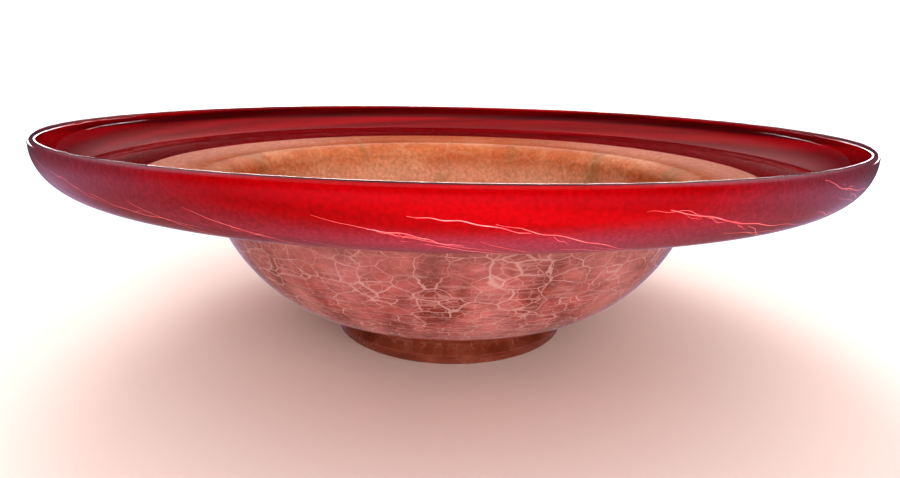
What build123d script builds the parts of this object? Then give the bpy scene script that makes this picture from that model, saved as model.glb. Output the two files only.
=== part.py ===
from build123d import *
from collections import namedtuple
from math import asin, cos, degrees, radians, sin, tan
import os

# A wide-brimmed bowl of cased art glass. A clear inner gather is rolled in coloured powder,
# crackled, banded in ruby at its edge, cased again in clear glass and set on a ring foot.
# Every layer is a surface of revolution about Z. The bowl stands on z = 0, axis on the origin.
# Millimetres and degrees.

# Overall
rim_radius = 190.0
rim_height = 110.0

# Outer surface, from the axis outwards: a chain of tangent bends, each turning the wall from
# the slope before it to its own slope, with one straight run across the brim.
base_bottom = 10.0       # underside of the bowl on the axis, inside the foot
base_radius = 400.0
base_slope = 9.0
lower_radius = 69.0
lower_slope = 45.0
upper_radius = 85.0
upper_slope = 78.0
shoulder_radius = 8.0    # the crest where the body's wall rolls out into the brim
brim_slope = 7.0
turn_radius = 19.0       # the bend that stands the brim up into the rim
rim_slope = 90.0

# The wall's layers, from the outside in
casing_thickness = 1.5
crackle_thickness = 0.4
ground_thickness = 0.4
lining_thickness = 0.9
seam_radius = 155.0      # where the crackled colour ends and the ruby band begins
ruby_cover = 0.7         # clear glass over the top edge of the ruby, at the lip

# Foot
foot_radius = 60.0       # outside of the ground ring
foot_inner_radius = 48.0
foot_bevel = 1.0
foot_band_height = 5.0   # the proud lower band, below the neck
foot_neck_radius = 58.8
foot_top_radius = 62.4   # where the neck has flared out into the base
foot_neck_height = 0.55  # share of the neck's height up to which it hardly flares
foot_neck_flare = 0.1    # share of the flare that it has made by then
recess_fillet = 5.0      # inside the ring, under the base

# Depths of the layers' faces below the outer surface. The ruby is as thick as the crackle and
# ground together, because it carries on where they stop.
crackle_depth = casing_thickness
ground_depth = crackle_depth + crackle_thickness
lining_depth = ground_depth + ground_thickness
wall_thickness = lining_depth + lining_thickness
lip_radius = wall_thickness / 2
lip_height = rim_height - lip_radius    # the lining stops here, under the rounded lip
ruby_height = rim_height - ruby_cover   # the ruby stands on, up into the lip

shortest_run = 0.01      # bends that end closer together than this need no straight run between

# side is +1 where the bend's centre is on the bowl's inside, and -1 where it is outside.
Bend = namedtuple("Bend", "r z radius side start end")


def outward(slope):
    """Unit vector square to the wall and out of the bowl, where the wall climbs at slope."""
    return sin(radians(slope)), -cos(radians(slope))


def on_bend(bend, slope, depth=0.0):
    """Point of a bend where the wall has the given slope, depth inside the outer surface."""
    out_r, out_z = outward(slope)
    reach = bend.side * bend.radius - depth
    return bend.r + reach * out_r, bend.z + reach * out_z


def bend_after(bend, radius, side, end):
    """Bend that carries on, tangent, from the end of another."""
    r, z = on_bend(bend, bend.end)
    out_r, out_z = outward(bend.end)
    return Bend(r - side * radius * out_r, z - side * radius * out_z, radius, side, bend.end, end)


base = Bend(0.0, base_bottom + base_radius, base_radius, 1, 0.0, base_slope)
lower = bend_after(base, lower_radius, 1, lower_slope)
upper = bend_after(lower, upper_radius, 1, upper_slope)
shoulder = bend_after(upper, shoulder_radius, -1, brim_slope)
brim_start = on_bend(shoulder, brim_slope)


def on_brim(r, depth=0.0):
    """Point inside the brim's straight run, square to the outer surface's point at radius r."""
    z = brim_start[1] + (r - brim_start[0]) * tan(radians(brim_slope))
    out_r, out_z = outward(brim_slope)
    return r - depth * out_r, z - depth * out_z


turn_start = on_brim(rim_radius - turn_radius + turn_radius * sin(radians(brim_slope)))
turn = Bend(
    rim_radius - turn_radius,
    turn_start[1] + turn_radius * cos(radians(brim_slope)),
    turn_radius,
    1,
    brim_slope,
    rim_slope,
)
body = [base, lower, upper, shoulder]
whole_wall = body + [turn]


def under_lip(depth):
    """Point of the upright rim, depth inside the outer surface, where the rounded lip begins."""
    return rim_radius - depth, lip_height


def in_lip(depth):
    """Point of the ruby's top edge, depth inside the outer surface."""
    return rim_radius - depth, ruby_height


def skin(depth, bends, start=None, end=None):
    """Edges of the wall at one depth: the bends and the straight runs that join them."""
    edges = []
    last = start
    for bend in bends:
        first = on_bend(bend, bend.start, depth)
        if last is not None and (Vector(*first) - Vector(*last)).length > shortest_run:
            edges.append(Line(last, first))
        last = on_bend(bend, bend.end, depth)
        middle = on_bend(bend, (bend.start + bend.end) / 2, depth)
        edges.append(ThreePointArc(first, middle, last))
    if end is not None:
        edges.append(Line(last, end))
    return edges


def turned(edges):
    """Solid of revolution about Z from the closed outline that the edges make in (r, z)."""
    return revolve(Plane.XZ * make_face(edges), Axis.Z)


def layer(outer_depth, inner_depth, bends, start=None, end=None):
    """Layer between two depths. start and end give a point from a depth, or None on the axis."""
    faces = []
    for depth in (outer_depth, inner_depth):
        first = start(depth) if start else None
        last = end(depth) if end else None
        faces.append(skin(depth, bends, first, last))
    outside, inside = faces
    ends = [Line(outside[0] @ 0, inside[0] @ 0), Line(outside[-1] @ 1, inside[-1] @ 1)]
    return turned(outside + ends + inside)


def seam(depth):
    """Point of the seam between the crackled colour and the ruby band."""
    return on_brim(seam_radius, depth)


def outer_casing():
    """Clear outer glass, which rolls over the rim and closes the layers in."""
    outside = skin(0.0, whole_wall, end=under_lip(0.0))
    inside = skin(crackle_depth, whole_wall, end=in_lip(crackle_depth))
    lip = ThreePointArc(
        under_lip(0.0), (rim_radius - lip_radius, rim_height), under_lip(wall_thickness)
    )
    seats = Polyline(
        under_lip(wall_thickness), under_lip(lining_depth), in_lip(lining_depth), in_lip(crackle_depth)
    ).edges()
    floor = Line(outside[0] @ 0, inside[0] @ 0)
    return turned(outside + [lip, floor, *seats] + inside)


def foot_ring():
    """Thick applied ring: ground flat below, a proud band, a neck, and a recess inside."""

    def under_base(r):
        return on_bend(base, degrees(asin(r / base_radius)))

    fillet_top = under_base(foot_inner_radius - recess_fillet)
    fillet_foot = (foot_inner_radius, fillet_top[1] - recess_fillet)
    fillet_centre = (foot_inner_radius - recess_fillet, fillet_foot[1])
    fillet_middle = (
        fillet_centre[0] + recess_fillet * cos(radians(45)),
        fillet_centre[1] + recess_fillet * sin(radians(45)),
    )
    step = foot_radius - foot_neck_radius
    neck_foot = (foot_neck_radius, foot_band_height + step)
    neck_top = under_base(foot_top_radius)
    neck_middle = (
        foot_neck_radius + foot_neck_flare * (foot_top_radius - foot_neck_radius),
        neck_foot[1] + foot_neck_height * (neck_top[1] - neck_foot[1]),
    )
    outline = [
        (foot_inner_radius, foot_bevel),
        (foot_inner_radius + foot_bevel, 0.0),
        (foot_radius - foot_bevel, 0.0),
        (foot_radius, foot_bevel),
        (foot_radius, foot_band_height),
        neck_foot,
    ]
    edges = [Line(a, b) for a, b in zip(outline, outline[1:])]
    edges.append(ThreePointArc(neck_foot, neck_middle, neck_top))
    top_middle = under_base((foot_top_radius + fillet_top[0]) / 2)
    edges.append(ThreePointArc(neck_top, top_middle, fillet_top))
    edges.append(ThreePointArc(fillet_top, fillet_middle, fillet_foot))
    edges.append(Line(fillet_foot, outline[0]))
    return turned(edges)


nodes = {
    "inner_lining": layer(lining_depth, wall_thickness, whole_wall, end=under_lip),
    "colour_ground_layer": layer(ground_depth, lining_depth, body, end=seam),
    "crackle_layer": layer(crackle_depth, ground_depth, body, end=seam),
    "ruby_rim_layer": layer(crackle_depth, lining_depth, [turn], seam, in_lip),
    "outer_casing": outer_casing(),
    "foot_ring": foot_ring(),
}

os.makedirs("parts", exist_ok=True)
for name, solid in nodes.items():
    export_step(solid, f"parts/{name}.step")
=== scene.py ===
from collections import namedtuple
from math import ceil, cos, e, hypot, pi, radians, sin, tan
from random import Random

import bmesh
import bpy
import numpy as np
from mathutils import Matrix, Vector


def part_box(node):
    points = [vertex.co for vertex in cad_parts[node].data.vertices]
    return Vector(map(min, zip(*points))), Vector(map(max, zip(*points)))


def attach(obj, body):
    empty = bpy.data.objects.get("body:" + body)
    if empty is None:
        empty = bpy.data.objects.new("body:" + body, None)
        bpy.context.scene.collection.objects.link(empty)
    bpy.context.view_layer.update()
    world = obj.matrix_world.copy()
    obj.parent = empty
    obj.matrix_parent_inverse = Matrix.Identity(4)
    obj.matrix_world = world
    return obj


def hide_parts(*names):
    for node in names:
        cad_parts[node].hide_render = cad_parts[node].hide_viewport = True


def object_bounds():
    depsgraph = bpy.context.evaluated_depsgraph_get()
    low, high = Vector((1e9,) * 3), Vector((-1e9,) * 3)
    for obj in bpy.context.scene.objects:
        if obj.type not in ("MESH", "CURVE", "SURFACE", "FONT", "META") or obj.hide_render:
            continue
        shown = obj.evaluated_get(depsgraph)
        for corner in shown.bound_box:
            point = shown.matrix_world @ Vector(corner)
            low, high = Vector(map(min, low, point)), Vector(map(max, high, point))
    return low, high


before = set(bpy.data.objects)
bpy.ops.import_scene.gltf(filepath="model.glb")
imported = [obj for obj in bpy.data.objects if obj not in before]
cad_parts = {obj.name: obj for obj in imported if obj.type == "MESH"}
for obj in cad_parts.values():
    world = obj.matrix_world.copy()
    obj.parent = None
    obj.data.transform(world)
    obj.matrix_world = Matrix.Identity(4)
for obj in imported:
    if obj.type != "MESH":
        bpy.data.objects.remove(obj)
cad_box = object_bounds()

MM = 0.001

# ---- Form -------------------------------------------------------------------------------
# The outer surface is the same chain of tangent bends as the CAD's, in metres and degrees.
rim_radius = min(*cad_box[1].xy, *-cad_box[0].xy)
rim_height = cad_box[1].z
seam_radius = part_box("crackle_layer")[1].x
foot_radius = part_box("foot_ring")[1].x

base_bottom = 10 * MM
base_radius = 400 * MM
base_slope = 9
lower_radius = 69 * MM
lower_slope = 45
upper_radius = 85 * MM
upper_slope = 78
shoulder_radius = 8 * MM
brim_slope = 7
turn_radius = 19 * MM
rim_slope = 90

# Depths below the outer surface. The coloured layers stand a hair apart inside the clear glass.
hair = 0.02 * MM
crackle_depth = 1.5 * MM
ground_depth = 1.9 * MM
lining_depth = 2.3 * MM
wall_thickness = 3.2 * MM
lip_radius = wall_thickness / 2
lip_height = rim_height - lip_radius
ruby_cover = 0.7 * MM
seam_gap = 0.15 * MM

foot_inner_radius = 48 * MM
foot_bevel = 1 * MM
foot_band_height = 5 * MM
foot_neck_radius = 58.8 * MM
foot_top_radius = 62.4 * MM
foot_neck_flare = 3.2    # how late the neck flares out on its way up
recess_fillet = 5 * MM
foot_sink = 0.05 * MM    # how far the foot's top runs up into the bowl's glass, so no air is left

# Fineness of the meshes: steps round the axis, and the widest gaps between an outline's points
round_steps = 288
point_gap = 2.4 * MM
turn_gap = 4.0           # degrees
lip_turn_gap = 12.0
run_gap = 4 * MM
neck_steps = 12
foot_top_steps = 8
fillet_turn = 10

# The slight unevenness of work made by hand, greatest at the rim, as shares of radius and height
rim_swell = 0.0016
rim_sag = 0.0035

# Edges that turn by more degrees than this stay sharp
smooth_below = 40.0
foot_smooth_below = 30.0
thread_smooth_below = 80.0

Bend = namedtuple("Bend", "r z radius side start end")


def outward(slope):
    """Unit vector square to the wall and out of the bowl, where the wall climbs at slope."""
    return sin(radians(slope)), -cos(radians(slope))


def on_bend(bend, slope, depth=0.0):
    """Point of a bend where the wall has the given slope, depth inside the outer surface."""
    out_r, out_z = outward(slope)
    reach = bend.side * bend.radius - depth
    return bend.r + reach * out_r, bend.z + reach * out_z


def bend_after(bend, radius, side, end):
    """Bend that carries on, tangent, from the end of another."""
    r, z = on_bend(bend, bend.end)
    out_r, out_z = outward(bend.end)
    return Bend(r - side * radius * out_r, z - side * radius * out_z, radius, side, bend.end, end)


base = Bend(0.0, base_bottom + base_radius, base_radius, 1, 0.0, base_slope)
lower = bend_after(base, lower_radius, 1, lower_slope)
upper = bend_after(lower, upper_radius, 1, upper_slope)
shoulder = bend_after(upper, shoulder_radius, -1, brim_slope)
brim_start = on_bend(shoulder, brim_slope)


def on_brim(r, depth=0.0):
    """Point inside the brim's straight run, square to the outer surface's point at radius r."""
    z = brim_start[1] + (r - brim_start[0]) * tan(radians(brim_slope))
    out_r, out_z = outward(brim_slope)
    return r - depth * out_r, z - depth * out_z


turn_start = on_brim(rim_radius - turn_radius + turn_radius * sin(radians(brim_slope)))
turn = Bend(
    rim_radius - turn_radius,
    turn_start[1] + turn_radius * cos(radians(brim_slope)),
    turn_radius,
    1,
    brim_slope,
    rim_slope,
)
body = [base, lower, upper, shoulder]
whole_wall = body + [turn]


def along(bend, depth, gap=turn_gap):
    """Points of a bend at one depth, close enough together to look round."""
    sweep = bend.end - bend.start
    arc = abs(bend.side * bend.radius - depth) * radians(abs(sweep))
    steps = max(ceil(arc / point_gap), ceil(abs(sweep) / gap))
    return [on_bend(bend, bend.start + sweep * i / steps, depth) for i in range(steps + 1)]


def divided(points):
    """The same outline with points added along its long straight runs."""
    made = [points[0]]
    for a, b in zip(points, points[1:]):
        steps = max(1, ceil((Vector(b) - Vector(a)).length / run_gap))
        made += [tuple(Vector(a).lerp(Vector(b), i / steps)) for i in range(1, steps + 1)]
    return made


def skin(depth, bends, start=None, end=None):
    """The wall's outline at one depth, from start or the axis outwards to end."""
    points = [start] if start else []
    for bend in bends:
        points += along(bend, depth)
    if end:
        points.append(end)
    return divided(points)


def layer(outer_depth, inner_depth, bends, end, start=None):
    """Closed outline of a layer between two depths. start and end give a point from a depth."""
    faces = []
    for depth in (outer_depth, inner_depth):
        first = start(depth) if start else None
        faces.append(skin(depth, bends, first, end(depth)))
    return faces[0] + faces[1][::-1]


def envelope_outline():
    """The clear glass as one body: casing, rounded lip and lining, with the colour inside it."""
    lip = Bend(rim_radius - lip_radius, lip_height, lip_radius, 1, rim_slope, rim_slope + 180)
    outside = skin(0.0, whole_wall, end=(rim_radius, lip_height))
    inside = skin(wall_thickness, whole_wall, end=(rim_radius - wall_thickness, lip_height))
    return outside + along(lip, 0.0, lip_turn_gap)[1:-1] + inside[::-1]


def foot_outline():
    """Closed outline of the thick ring: flat below, a proud band, a neck, a recess inside."""

    def under_base(r):
        return base.z - (base_radius**2 - r**2) ** 0.5

    neck_foot = foot_band_height + foot_radius - foot_neck_radius
    neck_top = under_base(foot_top_radius)
    neck = []
    for i in range(1, neck_steps + 1):
        t = i / neck_steps
        r = foot_neck_radius + (foot_top_radius - foot_neck_radius) * t**foot_neck_flare
        neck.append((r, neck_foot + (neck_top - neck_foot) * t))
    fillet_r = foot_inner_radius - recess_fillet
    fillet_z = under_base(fillet_r) - recess_fillet
    fillet = [
        (fillet_r + recess_fillet * sin(radians(a)), fillet_z + recess_fillet * cos(radians(a)))
        for a in range(0, 91, fillet_turn)
    ]
    top = []
    for i in range(1, foot_top_steps):
        r = foot_top_radius + (fillet_r - foot_top_radius) * i / foot_top_steps
        top.append((r, under_base(r) + foot_sink))
    outline = [
        (foot_inner_radius, foot_bevel),
        (foot_inner_radius + foot_bevel, 0.0),
        (foot_radius - foot_bevel, 0.0),
        (foot_radius, foot_bevel),
        (foot_radius, foot_band_height),
        (foot_neck_radius, neck_foot),
    ]
    return outline + neck + top + fillet


def handmade(points):
    """The points moved by the bowl's slight unevenness, always inwards and downwards."""
    x, y, z = points.T
    angle = np.arctan2(y, x)
    reach = (np.hypot(x, y) / rim_radius) ** 2
    swell = 0.5 + 0.3 * np.sin(2 * angle + 0.6) + 0.2 * np.sin(3 * angle + 2.1)
    sag = 0.5 + 0.25 * np.sin(2 * angle + 1.9) + 0.25 * np.sin(5 * angle + 0.4)
    inwards = 1 - rim_swell * reach * swell
    downwards = 1 - rim_sag * reach * sag
    return np.stack([x * inwards, y * inwards, z * downwards], axis=1)


def mesh_object(name, points, faces, sharp=smooth_below):
    """Object from vertices and faces, moved by the handwork, smooth but for its real edges."""
    mesh = bpy.data.meshes.new(name)
    mesh.from_pydata(handmade(np.array(points)).tolist(), [], faces)
    work = bmesh.new()
    work.from_mesh(mesh)
    bmesh.ops.recalc_face_normals(work, faces=work.faces)
    work.to_mesh(mesh)
    work.free()
    mesh.shade_smooth()
    mesh.set_sharp_from_angle(angle=radians(sharp))
    made = bpy.data.objects.new(name, mesh)
    bpy.context.scene.collection.objects.link(made)
    return made


def turned(name, outline, sharp=smooth_below):
    """Closed surface of revolution about Z from a closed outline of (r, z) points."""
    points, rings = [], []
    for r, z in outline:
        if r < hair:
            rings.append([len(points)] * round_steps)
            points.append((0.0, 0.0, z))
            continue
        rings.append(range(len(points), len(points) + round_steps))
        for i in range(round_steps):
            a = 2 * pi * i / round_steps
            points.append((r * cos(a), r * sin(a), z))
    faces = []
    for a, b in zip(rings, rings[1:] + rings[:1]):
        for i in range(round_steps):
            j = (i + 1) % round_steps
            corners = list(dict.fromkeys([a[i], a[j], b[j], b[i]]))
            if len(corners) > 2:
                faces.append(corners)
    return mesh_object(name, points, faces, sharp)


# ---- Ruby threads -----------------------------------------------------------------------
# Crackle drawn out into pale threads when the rim was spun open. They lie on the ruby's
# outer face and all lean the same way round.
thread_count = 130
thread_depth = 1.4 * MM
thread_lean = 11.0       # least lean: radians round the rim for each metre down the wall
thread_steps = 26
thread_sides = 6
thread_flatness = 0.35   # a thread's thickness as a share of its width
fork_width = 0.6         # a fork's width as a share of its thread's
thread_seed = 11
wall_start = seam_radius + 1 * MM

Wall = namedtuple("Wall", "run r z")


def ruby_wall():
    """The wall's outline under the threads, by the distance run along it from the seam up."""
    lip_end = (rim_radius - thread_depth, lip_height)
    line = skin(thread_depth, [turn], on_brim(wall_start, thread_depth), lip_end)
    run = [0.0]
    for a, b in zip(line, line[1:]):
        run.append(run[-1] + hypot(b[0] - a[0], b[1] - a[1]))
    return Wall(np.array(run), *np.array(line).T)


def thread(points, faces, wall, draw, start, angle, drop, width, lean):
    """Adds one tapering thread that slides down the wall as it goes round, swaying a little."""
    phase = draw.uniform(0, 2 * pi)
    wander = draw.uniform(0.2, 0.8) * MM
    rings = []
    for i in range(thread_steps + 1):
        t = i / thread_steps
        sway = sin(phase + 7 * t) + 0.45 * sin(2.3 * phase + 23 * t) + draw.uniform(-0.12, 0.12)
        at = min(max(start - drop * t + wander * sway, 0.0), wall.run[-1])
        round_at = angle + lean * drop * t + 0.004 * sin(phase * 3 + 9 * t)
        half = width * (0.25 + 0.75 * sin(pi * min(max(t, 0.02), 0.98)) ** 0.6)
        rings.append(range(len(points), len(points) + thread_sides))
        for k in range(thread_sides):
            turned_by = 2 * pi * k / thread_sides
            across = at + half * cos(turned_by)
            r = np.interp(across, wall.run, wall.r) + thread_flatness * half * sin(turned_by)
            z = np.interp(across, wall.run, wall.z)
            points.append((r * cos(round_at), r * sin(round_at), z))
    for a, b in zip(rings, rings[1:]):
        for k in range(thread_sides):
            j = (k + 1) % thread_sides
            faces.append([a[k], a[j], b[j], b[k]])
    faces.append(rings[0][::-1])
    faces.append(rings[-1])


def ruby_threads():
    """All the threads round the rim, some of them forked."""
    draw = Random(thread_seed)
    wall = ruby_wall()
    points, faces = [], []
    for n in range(thread_count):
        angle = 2 * pi * (n + draw.uniform(-0.4, 0.4)) / thread_count
        start = wall.run[-1] * draw.uniform(0.45, 1.0)
        lean = thread_lean * draw.uniform(1.0, 3.2)
        drop = min(draw.uniform(0.12, 0.38) / lean, start)
        width = draw.uniform(0.06, 0.19) * MM
        thread(points, faces, wall, draw, start, angle, drop, width, lean)
        for _ in range(draw.randint(0, 2)):
            gone = drop * draw.uniform(0.15, 0.7)
            fork_drop = drop * draw.uniform(0.15, 0.45)
            fork_lean = lean * draw.uniform(0.3, 1.0)
            fork = (start - gone, angle + lean * gone, fork_drop, width * fork_width, fork_lean)
            thread(points, faces, wall, draw, *fork)
    return mesh_object("ruby_threads", points, faces, thread_smooth_below)


# ---- Nodes ------------------------------------------------------------------------------
def new_material(name):
    """A material with an empty node tree."""
    material = bpy.data.materials.new(name)
    material.use_nodes = True
    material.node_tree.nodes.clear()
    return material, material.node_tree


def add(tree, kind, inputs=None, **settings):
    """Adds a node. Each input is a number, a colour, or the output it is linked to."""
    made = tree.nodes.new("ShaderNode" + kind)
    for name, value in settings.items():
        setattr(made, name, value)
    for key, value in (inputs or {}).items():
        socket = made.inputs[key]
        if isinstance(value, bpy.types.NodeSocket):
            tree.links.new(value, socket)
        else:
            socket.default_value = (*value, 1.0) if socket.type == "RGBA" else value
    return made


def math(tree, operation, *values):
    """A Math node's output."""
    return add(tree, "Math", dict(enumerate(values)), operation=operation).outputs[0]


def vector(tree, operation, *values):
    """A Vector Math node's vector output."""
    return add(tree, "VectorMath", dict(enumerate(values)), operation=operation).outputs[0]


def scaled(tree, value, factor):
    """A vector times a number."""
    return add(tree, "VectorMath", {0: value, "Scale": factor}, operation="SCALE").outputs[0]


def length(tree, value):
    """A vector's length."""
    return add(tree, "VectorMath", {0: value}, operation="LENGTH").outputs["Value"]


def blend(tree, factor, a, b, kind="MIX"):
    """A mix of two colours."""
    inputs = {0: factor, 6: a, 7: b}
    return add(tree, "Mix", inputs, data_type="RGBA", blend_type=kind).outputs[2]


def ramp(tree, factor, *stops):
    """A colour ramp's output. Each stop is (place, colour)."""
    made = add(tree, "ValToRGB", {0: factor})
    steps = made.color_ramp.elements
    while len(steps) < len(stops):
        steps.new(0.5)
    for step, (at, colour) in zip(steps, stops):
        step.position = at
        step.color = (*colour, 1.0)
    return made.outputs[0]


def spread(tree, value, low, high, to_low=0.0, to_high=1.0):
    """A smooth step from to_low to to_high as value goes from low to high."""
    inputs = {"Value": value, "From Min": low, "From Max": high}
    inputs.update({"To Min": to_low, "To Max": to_high})
    return add(tree, "MapRange", inputs, interpolation_type="SMOOTHSTEP").outputs[0]


def noise(tree, where, scale, detail=3.0, roughness=0.55):
    """A noise texture's value."""
    inputs = {"Vector": where, "Scale": scale, "Detail": detail, "Roughness": roughness}
    return add(tree, "TexNoise", inputs).outputs[0]


def mixed(tree, share, a, b):
    """A mix of two shaders."""
    return add(tree, "MixShader", {0: share, 1: a, 2: b}).outputs[0]


def output(tree, surface, volume=None):
    """The material's output."""
    made = add(tree, "OutputMaterial", {"Surface": surface})
    if volume is not None:
        tree.links.new(volume, made.inputs["Volume"])


# ---- Patterns ---------------------------------------------------------------------------
# The gather of glass that the colours were laid on, before it was blown out into the bowl.
# Reach is a point's radius and height together, about as far as the wall has run to it.
gather_radius = 115 * MM
gather_foot = 55 * MM    # the pattern narrows again inside this radius
gather_start = 45 * MM   # the reach that the way up is counted from
least_climb = 20 * MM
gather_rise = 0.17       # how much the way up grows each time the climb grows e times

Spot = namedtuple("Spot", "at flat radius height")


def place(tree):
    """The point on the object, the same point at height 0, its radius and its height."""
    at = add(tree, "TexCoord").outputs["Object"]
    parts = add(tree, "SeparateXYZ", {0: at}).outputs
    flat = add(tree, "CombineXYZ", {0: parts[0], 1: parts[1], 2: 0.0}).outputs[0]
    return Spot(at, flat, length(tree, flat), parts[2])


def flow(tree, twist=0.0, squeeze=1.0):
    """Where the glass lay on the gather before it was blown out: round it, and up it.

    The way round has the same length at every height, so a pattern widens with the bowl. The
    way up runs slower towards the foot, where the crackle is squeezed flat. twist turns the
    pattern round as it climbs, in radians for each metre.
    """
    spot = place(tree)
    stretch = math(tree, "DIVIDE", gather_radius, math(tree, "MAXIMUM", spot.radius, gather_foot))
    ring = scaled(tree, spot.flat, stretch)
    reach = math(tree, "ADD", spot.radius, spot.height)
    if twist:
        angle = math(tree, "MULTIPLY", reach, twist)
        ring = add(tree, "VectorRotate", {"Vector": ring, "Angle": angle}).outputs[0]
    climbed = math(tree, "MAXIMUM", math(tree, "SUBTRACT", reach, gather_start), least_climb)
    up = math(tree, "MULTIPLY", math(tree, "LOGARITHM", climbed, e), gather_rise * squeeze)
    lift = add(tree, "CombineXYZ", {0: 0.0, 1: 0.0, 2: up}).outputs[0]
    return vector(tree, "ADD", ring, lift)


def warped(tree, where, scale, amount):
    """The place pushed about by noise, so that a pattern's lines wander."""
    push = add(tree, "TexNoise", {"Vector": where, "Scale": scale, "Detail": 2.0}).outputs[1]
    push = vector(tree, "SUBTRACT", push, (0.5, 0.5, 0.5))
    return vector(tree, "ADD", where, scaled(tree, push, amount))


def cracks(tree, where, cell, half_width, fade=1.0):
    """Lines between cells, 1 on a line and 0 off it. fade is a value that thins the lines."""
    inputs = {"Vector": where, "Scale": 1 / cell, "Randomness": 0.8}
    edge = add(tree, "TexVoronoi", inputs, feature="DISTANCE_TO_EDGE").outputs["Distance"]
    width = math(tree, "MULTIPLY", fade, 2 * half_width / cell)
    return math(tree, "SUBTRACT", 1.0, spread(tree, math(tree, "DIVIDE", edge, width), 0.25, 1.0))


# ---- Materials --------------------------------------------------------------------------
# Colours are linear red, green and blue.
vein_rose = (1.0, 0.86, 0.90)
upper_mauve = (0.86, 0.60, 0.64)
band_brown = (0.56, 0.20, 0.12)
well_peach = (0.85, 0.55, 0.41)
olive_cloud = (0.46, 0.27, 0.11)
lobe_peach = (0.86, 0.58, 0.40)
brim_peach = (0.95, 0.60, 0.49)
wisp_peach = (0.86, 0.56, 0.45)
# Painted reflection: rose-lavender laid on the ruby's outer face at a slant, in place of the
# floor's glancing reflection.
painted_slant_reflection = (0.62, 0.36, 0.53)
casing_shadow = (0.97, 0.96, 0.95)
foot_shadow = (0.6, 0.32, 0.22)
foot_depth = (0.80, 0.36, 0.22)
foot_absorption = 9.0    # per metre

# Heights over which a finish comes in, and distances inside the seam for the last
neck_wisps = (6.2 * MM, 7.5 * MM)
body_veins = (21 * MM, 27 * MM)
body_mauve = (40 * MM, 86 * MM)
well_paleness = (81 * MM, 66 * MM)
brim_paleness = (30 * MM, 10 * MM)


def lit_through(tree, colour, share):
    """Coloured powder glass that scatters light back and lets some glow through."""
    diffuse = add(tree, "BsdfDiffuse", {"Color": colour}).outputs[0]
    through = add(tree, "BsdfTranslucent", {"Color": colour}).outputs[0]
    return mixed(tree, share, diffuse, through)


def lets_lamps_through(tree, shader, tint):
    """The shader, clear to rays from lamps so that they reach the colour behind the glass."""
    path = add(tree, "LightPath").outputs["Is Shadow Ray"]
    return mixed(tree, path, shader, add(tree, "BsdfTransparent", {0: tint}).outputs[0])


def refracting(tree, tint, haze, index, swirl, strength):
    """Glass that bends light. swirl is a pattern that its surface rises and falls by."""
    bump = add(tree, "Bump", {"Height": swirl, "Strength": strength, "Distance": 0.6 * MM})
    inputs = {
        "Base Color": tint,
        "Roughness": haze,
        "IOR": index,
        "Transmission Weight": 1.0,
        "Normal": bump.outputs[0],
    }
    return add(tree, "BsdfPrincipled", inputs).outputs[0]


def clear_glass():
    """Blown clear glass: bright, a little uneven, with a breath of colour."""
    material, tree = new_material("clear_glass")
    at = place(tree).at
    tint = ramp(tree, noise(tree, at, 18.0), (0.3, (1.0, 0.985, 0.975)), (0.7, (1.0, 0.998, 0.995)))
    haze = spread(tree, noise(tree, at, 45.0), 0.35, 0.75, 0.012, 0.03)
    swirl = noise(tree, flow(tree, twist=8.0, squeeze=0.4), 30.0, 2.0)
    glass = refracting(tree, tint, haze, 1.45, swirl, 0.12)
    output(tree, lets_lamps_through(tree, glass, casing_shadow))
    return material


def foot_glass():
    """Thick brown glass, darker where it is deeper, with pale wisps in its neck."""
    material, tree = new_material("foot_glass")
    spot = place(tree)
    streak = noise(tree, flow(tree, twist=3.0), 60.0)
    tint = ramp(tree, streak, (0.3, (0.86, 0.60, 0.48)), (0.7, (0.95, 0.74, 0.62)))
    haze = spread(tree, noise(tree, spot.at, 60.0), 0.35, 0.75, 0.16, 0.30)
    glass = refracting(tree, tint, haze, 1.5, streak, 0.2)
    milky = ramp(tree, streak, (0.35, (0.45, 0.14, 0.075)), (0.65, (0.57, 0.21, 0.13)))
    wisps = cracks(tree, warped(tree, spot.at, 90.0, 0.009), 6 * MM, 0.22 * MM)
    on_neck = math(tree, "MULTIPLY", spread(tree, spot.height, *neck_wisps), 0.35)
    milky = blend(tree, math(tree, "MULTIPLY", wisps, on_neck), milky, wisp_peach)
    share = spread(tree, streak, 0.3, 0.7, 0.3, 0.5)
    glassy = mixed(tree, share, glass, lit_through(tree, milky, 0.4))
    depth = add(tree, "VolumeAbsorption", {"Color": foot_depth, "Density": foot_absorption})
    output(tree, lets_lamps_through(tree, glassy, foot_shadow), depth.outputs[0])
    return material


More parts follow.
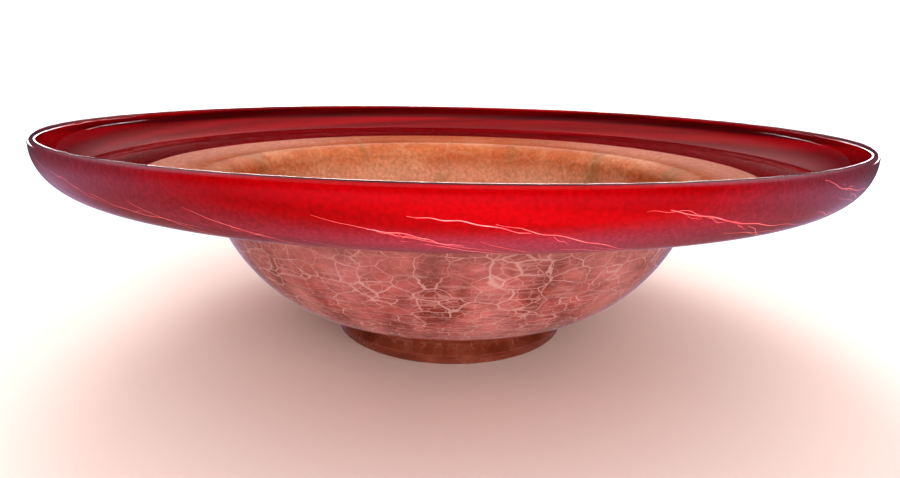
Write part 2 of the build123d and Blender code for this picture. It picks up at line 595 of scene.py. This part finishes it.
def crackle_glass():
    """The crackled colour seen from outside: rosy brown, netted with pale veins."""
    material, tree = new_material("crackle_glass")
    height = place(tree).height
    where = flow(tree)
    colour = ramp(
        tree,
        noise(tree, flow(tree, squeeze=0.16), 42.0),
        (0.38, (0.44, 0.13, 0.09)),
        (0.47, (0.70, 0.29, 0.28)),
        (0.62, (0.80, 0.43, 0.44)),
    )
    upper = math(tree, "MULTIPLY", spread(tree, height, *body_mauve), 0.6)
    colour = blend(tree, upper, colour, upper_mauve)
    rough = noise(tree, where, 90.0, 4.0, 0.65)
    shade = ramp(tree, rough, (0.3, (0.72, 0.68, 0.68)), (0.7, (1.16, 1.14, 1.16)))
    colour = blend(tree, 1.0, colour, shade, "MULTIPLY")

    patchy = spread(tree, noise(tree, where, 38.0, 2.0), 0.35, 0.65, 0.2, 1.0)
    lines = warped(tree, warped(tree, where, 45.0, 0.006), 170.0, 0.003)
    wide = cracks(tree, lines, 12 * MM, 0.38 * MM, patchy)
    fine = cracks(tree, warped(tree, lines, 90.0, 0.003), 5.2 * MM, 0.21 * MM, patchy)
    veins = math(tree, "MAXIMUM", wide, math(tree, "MULTIPLY", fine, 0.6))
    strokes = spread(tree, noise(tree, flow(tree, squeeze=5.0), 55.0), 0.52, 0.70, 0.0, 0.5)
    veins = math(tree, "MAXIMUM", veins, strokes)

    above_foot = spread(tree, height, *body_veins)
    colour = blend(tree, above_foot, band_brown, colour)
    veins = math(tree, "MULTIPLY", math(tree, "MULTIPLY", veins, above_foot), 0.85)
    output(tree, lit_through(tree, blend(tree, veins, colour, vein_rose), 0.6))
    return material


def amber_ground():
    """The powder ground seen from inside: granular amber, paler in the well and on the brim."""
    material, tree = new_material("amber_ground")
    spot = place(tree)
    where = flow(tree)
    colour = ramp(
        tree,
        noise(tree, where, 26.0),
        (0.35, (0.68, 0.23, 0.08)),
        (0.5, (0.74, 0.30, 0.125)),
        (0.65, (0.80, 0.40, 0.215)),
    )
    deep = math(tree, "MULTIPLY", spread(tree, spot.height, *well_paleness), 0.5)
    colour = blend(tree, deep, colour, well_peach)
    olive = spread(tree, noise(tree, flow(tree, squeeze=0.3), 33.0, 2.0), 0.56, 0.7)
    colour = blend(tree, math(tree, "MULTIPLY", olive, 0.5), colour, olive_cloud)
    lobes = cracks(tree, warped(tree, where, 30.0, 0.014), 26 * MM, 1.1 * MM)
    colour = blend(tree, math(tree, "MULTIPLY", lobes, 0.18), colour, lobe_peach)

    # The brim's paleness is strongest on the bowl's two sides.
    pale = spread(tree, spot.radius, *(seam_radius - inside for inside in brim_paleness))
    across = math(tree, "ABSOLUTE", add(tree, "SeparateXYZ", {0: spot.at}).outputs[0])
    to_sides = spread(tree, math(tree, "DIVIDE", across, spot.radius), 0.3, 0.85, 0.2, 1.0)
    colour = blend(tree, math(tree, "MULTIPLY", pale, to_sides), colour, brim_peach)

    grain = noise(tree, warped(tree, spot.at, 120.0, 0.004), 420.0, 4.0, 0.7)
    speck = ramp(tree, grain, (0.3, (0.74, 0.70, 0.64)), (0.7, (1.12, 1.12, 1.12)))
    output(tree, lit_through(tree, blend(tree, 1.0, colour, speck, "MULTIPLY"), 0.5))
    return material


def hidden_glass():
    """The clear side of a coloured layer, which lets light on to the side that carries colour."""
    material, tree = new_material("hidden_glass")
    cloud = noise(tree, place(tree).at, 90.0)
    tint = ramp(tree, cloud, (0.3, (0.97, 0.93, 0.92)), (0.7, (1.0, 0.98, 0.97)))
    output(tree, add(tree, "BsdfTransparent", {0: tint}).outputs[0])
    return material


def ruby_side(name, clear, glow, powder, through, slant_reflection=0.0):
    """One side of the ruby: clear colour with glowing powder in it, spun out into streaks.

    clear and glow are each a darker and a lighter colour, and powder is the least and the
    greatest share of powder. The last argument is how far a painted rose-lavender reflection hides
    the glow where the face is seen at a slant.
    """
    material, tree = new_material(name)
    streak = noise(tree, flow(tree, twist=60.0, squeeze=0.25), 16.0, 1.0)
    clear = ramp(tree, streak, (0.35, clear[0]), (0.65, clear[1]))
    glow = ramp(tree, streak, (0.35, glow[0]), (0.65, glow[1]))
    if slant_reflection:
        # Painted reflection: at a slant the glow gives way to a rose-lavender colour.
        slant = add(tree, "LayerWeight", {"Blend": 0.5}).outputs["Facing"]
        glow = blend(tree, spread(tree, slant, 0.11, 0.26, 0.0, slant_reflection), glow, painted_slant_reflection)
    share = spread(tree, noise(tree, place(tree).at, 850.0, 2.0), 0.3, 0.7, *powder)
    clear = add(tree, "BsdfTransparent", {0: clear}).outputs[0]
    output(tree, mixed(tree, share, clear, lit_through(tree, glow, through)))
    return material


def ruby_outside():
    """The ruby's outer face, clouded with fine crackle that takes the light, with a painted
    reflection where it is seen at a slant.
    """
    clear = (0.60, 0.09, 0.13), (0.80, 0.19, 0.25)
    glow = (0.72, 0.001, 0.008), (0.98, 0.004, 0.018)
    return ruby_side("ruby_outside", clear, glow, (0.29, 0.38), 0.35, slant_reflection=0.44)


def ruby_inside():
    """The ruby's inner face: deep clear red."""
    clear = (0.31, 0.001, 0.014), (0.42, 0.004, 0.026)
    glow = (0.50, 0.0, 0.008), (0.70, 0.002, 0.02)
    return ruby_side("ruby_inside", clear, glow, (0.04, 0.1), 0.5)


def thread_glass():
    """Pale rose threads in the ruby."""
    material, tree = new_material("thread_glass")
    cloud = noise(tree, place(tree).at, 160.0)
    colour = ramp(tree, cloud, (0.35, (0.98, 0.16, 0.18)), (0.65, (1.0, 0.36, 0.37)))
    output(tree, lit_through(tree, colour, 0.3))
    return material


# ---- Pieces -----------------------------------------------------------------------------
def seam(gap):
    """The seam between crackled colour and ruby, as a point from a depth, moved out by gap."""
    return lambda depth: on_brim(seam_radius + gap, depth)


def in_lip(depth):
    """The ruby's top edge, up in the lip."""
    return rim_radius - depth, rim_height - ruby_cover


def second_side(made, material, outside):
    """Gives a layer's side that faces out of the bowl, or into it, a material of its own."""
    made.data.materials.append(material)
    for face in made.data.polygons:
        x, y, _ = face.center
        out_of_bowl = face.normal.dot(Vector((x, y, -hypot(x, y)))) > 0
        if out_of_bowl == outside:
            face.material_index = 1


def piece(made, material, slot, *replaced):
    """Finishes a piece: its material, its body and the CAD nodes it stands for, which it hides.
    slot is not used.
    """
    made.data.materials.append(material)
    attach(made, "root")
    if replaced:
        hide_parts(*replaced)


seam_edge = seam(-seam_gap)
crackle_outline = layer(crackle_depth, ground_depth - hair, body, seam_edge)
ground_outline = layer(ground_depth + hair, lining_depth, body, seam_edge)
ruby_outline = layer(crackle_depth, lining_depth, [turn], in_lip, start=seam(0.0))

crackle = turned("crackle_layer_glass", crackle_outline)
ground = turned("colour_ground_glass", ground_outline)
ruby = turned("ruby_rim_glass", ruby_outline)
envelope = turned("clear_glass_envelope", envelope_outline())
foot = turned("foot_ring_glass", foot_outline(), foot_smooth_below)
threads = ruby_threads()

piece(envelope, clear_glass(), "casing_glass", "outer_casing", "inner_lining")
piece(crackle, crackle_glass(), "crackle_glass", "crackle_layer")
piece(ground, amber_ground(), "amber_ground", "colour_ground_layer")
piece(ruby, ruby_outside(), "ruby_glass", "ruby_rim_layer")
piece(threads, thread_glass(), "ruby_glass")
piece(foot, foot_glass(), "foot_glass", "foot_ring")

hidden = hidden_glass()
second_side(crackle, hidden, outside=False)
second_side(ground, hidden, outside=True)
second_side(ruby, ruby_inside(), outside=False)

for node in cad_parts.values():
    node.hide_render = True
    node.hide_viewport = True

# ---- Stage ------------------------------------------------------------------------------
floor_radius = 1.4
# Painted shade and light: the floor is darker within the near distance of the bowl and painted
# lighter out to the far one, where it matches the white background.
floor_near = 0.4         # distances from the bowl over which the floor grows lighter
floor_far = 1.2
floor_steps = 64
far_floor_painted_light = (0.89, 0.88, 0.93)

# Light from all round. Mirror reflections see it dimmed, but for the bright strip.
white = (1.0, 1.0, 1.0)
black = (0.0, 0.0, 0.0)
front_light = (0.10, 0.09, 0.12)
back_light = (0.14, 0.14, 0.17)
top_light = (1.25, 1.25, 1.27)
under_light = (0.60, 0.52, 0.72)
steep_light = (0.46, 0.33, 0.33)
strip_light = (16.0, 16.3, 17.0)
mirror_dimming = 0.38

aim_height = 60 * MM
camera_place = (0.0, -0.3340, 0.1347)
camera_lens = 24.68      # millimetres, on a sensor 36 mm wide
camera_turn = (0.0016, -0.259, -0.0199)  # yaw, pitch and roll, in radians


def floor_colour_and_shade():
    """A pale floor, painted darker and warmer near the bowl as painted shade, and painted lighter
    away from it until it meets the white light of the background.
    """
    material, tree = new_material("floor_colour_and_shade")
    at = place(tree).at
    near = ramp(tree, noise(tree, at, 3.0), (0.3, (0.70, 0.60, 0.55)), (0.7, (0.73, 0.63, 0.58)))
    # Painted shade near the bowl, painted light far from it.
    away = spread(tree, length(tree, at), floor_near, floor_far)
    colour = blend(tree, away, near, far_floor_painted_light)
    matt = add(tree, "BsdfPrincipled", {"Base Color": colour, "Roughness": 0.85})
    output(tree, matt.outputs[0])
    return material


def make_floor():
    """A round floor that the bowl stands on. Mirror reflections see the world below instead."""
    mesh = bpy.data.meshes.new("floor")
    turns = [2 * pi * i / floor_steps for i in range(floor_steps)]
    points = [(floor_radius * cos(a), floor_radius * sin(a), 0.0) for a in turns]
    mesh.from_pydata(points, [], [range(floor_steps)])
    made = bpy.data.objects.new("floor", mesh)
    bpy.context.scene.collection.objects.link(made)
    mesh.materials.append(floor_colour_and_shade())
    made.visible_glossy = False


def make_world():
    """Pale light, strongest from above. The camera itself sees only plain white.

    Mirror reflections also see a bright strip low behind the bowl, which draws the lip's line.
    """
    world = bpy.data.worlds.new("studio")
    bpy.context.scene.world = world
    world.use_nodes = True
    tree = world.node_tree
    tree.nodes.clear()
    direction = add(tree, "TexCoord").outputs["Generated"]
    y, z = add(tree, "SeparateXYZ", {0: direction}).outputs[1:]
    light = blend(tree, spread(tree, y, -0.55, 0.45), front_light, back_light)
    light = blend(tree, spread(tree, z, 0.15, 0.65), light, top_light)
    light = blend(tree, spread(tree, z, -0.10, -0.28), light, under_light)
    light = blend(tree, spread(tree, z, -0.30, -0.55), light, steep_light)

    path = add(tree, "LightPath").outputs
    unbent = math(tree, "SUBTRACT", 1.0, path["Is Transmission Ray"])
    mirrored = math(tree, "MULTIPLY", path["Is Glossy Ray"], unbent)
    light = blend(tree, math(tree, "MULTIPLY", mirrored, mirror_dimming), light, black)
    level = math(tree, "MULTIPLY", spread(tree, z, 0.0, 0.006), spread(tree, z, 0.036, 0.028))
    strip = math(tree, "MULTIPLY", level, spread(tree, y, 0.6, 0.75))
    light = blend(tree, math(tree, "MULTIPLY", strip, mirrored), light, strip_light)

    light = blend(tree, path["Is Camera Ray"], light, white)
    background = add(tree, "Background", {"Color": light, "Strength": 1.0})
    add(tree, "OutputWorld", {"Surface": background.outputs[0]})


def aimed(name, kind, place_at):
    """A lamp that faces the bowl. Neither reflections nor views through the glass show it."""
    data = bpy.data.lights.new(name, kind)
    made = bpy.data.objects.new(name, data)
    bpy.context.scene.collection.objects.link(made)
    made.location = place_at
    ahead = Vector((0.0, 0.0, aim_height)) - made.location
    made.rotation_euler = ahead.to_track_quat("-Z", "Y").to_euler()
    made.visible_transmission = False
    made.visible_glossy = False
    return made, data


def make_lamps():
    """A broad soft key above the camera, a weaker lamp behind the bowl, and a low fill.

    A small lamp close in front brings out the ruby's glow, and lights nothing else.
    """
    lamps = [
        ("key", (0.35, -1.4, 0.68), 1.5, (1.0, 0.985, 0.965)),
        ("back", (-0.3, 1.2, 1.6), 0.9, (0.97, 0.985, 1.0)),
        ("fill", (0.0, -1.4, 0.16), 0.9, (1.0, 0.985, 0.98)),
    ]
    for name, place_at, power, colour in lamps:
        data = aimed(name, "SUN", place_at)[1]
        data.angle = radians(30)
        data.energy = power
        data.color = colour
    made, data = aimed("rim_spot", "SPOT", (0.03, -0.36, 0.07))
    data.spot_size = radians(62)
    data.spot_blend = 1.0
    data.shadow_soft_size = 40 * MM
    data.energy = 2.4
    lit = bpy.data.collections.new("lit_by_rim_spot")
    lit.objects.link(ruby)
    lit.objects.link(threads)
    made.light_linking.receiver_collection = lit


def make_camera():
    """The camera at the photograph's viewing angle."""
    data = bpy.data.cameras.new("camera")
    data.sensor_fit = "HORIZONTAL"
    data.sensor_width = 36.0
    data.lens = camera_lens
    data.clip_start = 0.01
    data.clip_end = 200.0
    made = bpy.data.objects.new("camera", data)
    bpy.context.scene.collection.objects.link(made)
    yaw, pitch, roll = camera_turn
    turn_to = (
        Matrix.Rotation(yaw, 4, "Z")
        @ Matrix.Rotation(pitch, 4, "X")
        @ Matrix.Rotation(roll, 4, "Y")
        @ Matrix.Rotation(pi / 2, 4, "X")
    )
    made.matrix_world = Matrix.Translation(camera_place) @ turn_to
    bpy.context.scene.camera = made


make_floor()
make_world()
make_lamps()
make_camera()
bpy.context.scene.view_settings.view_transform = "Standard"
bpy.context.scene.view_settings.look = "High Contrast"
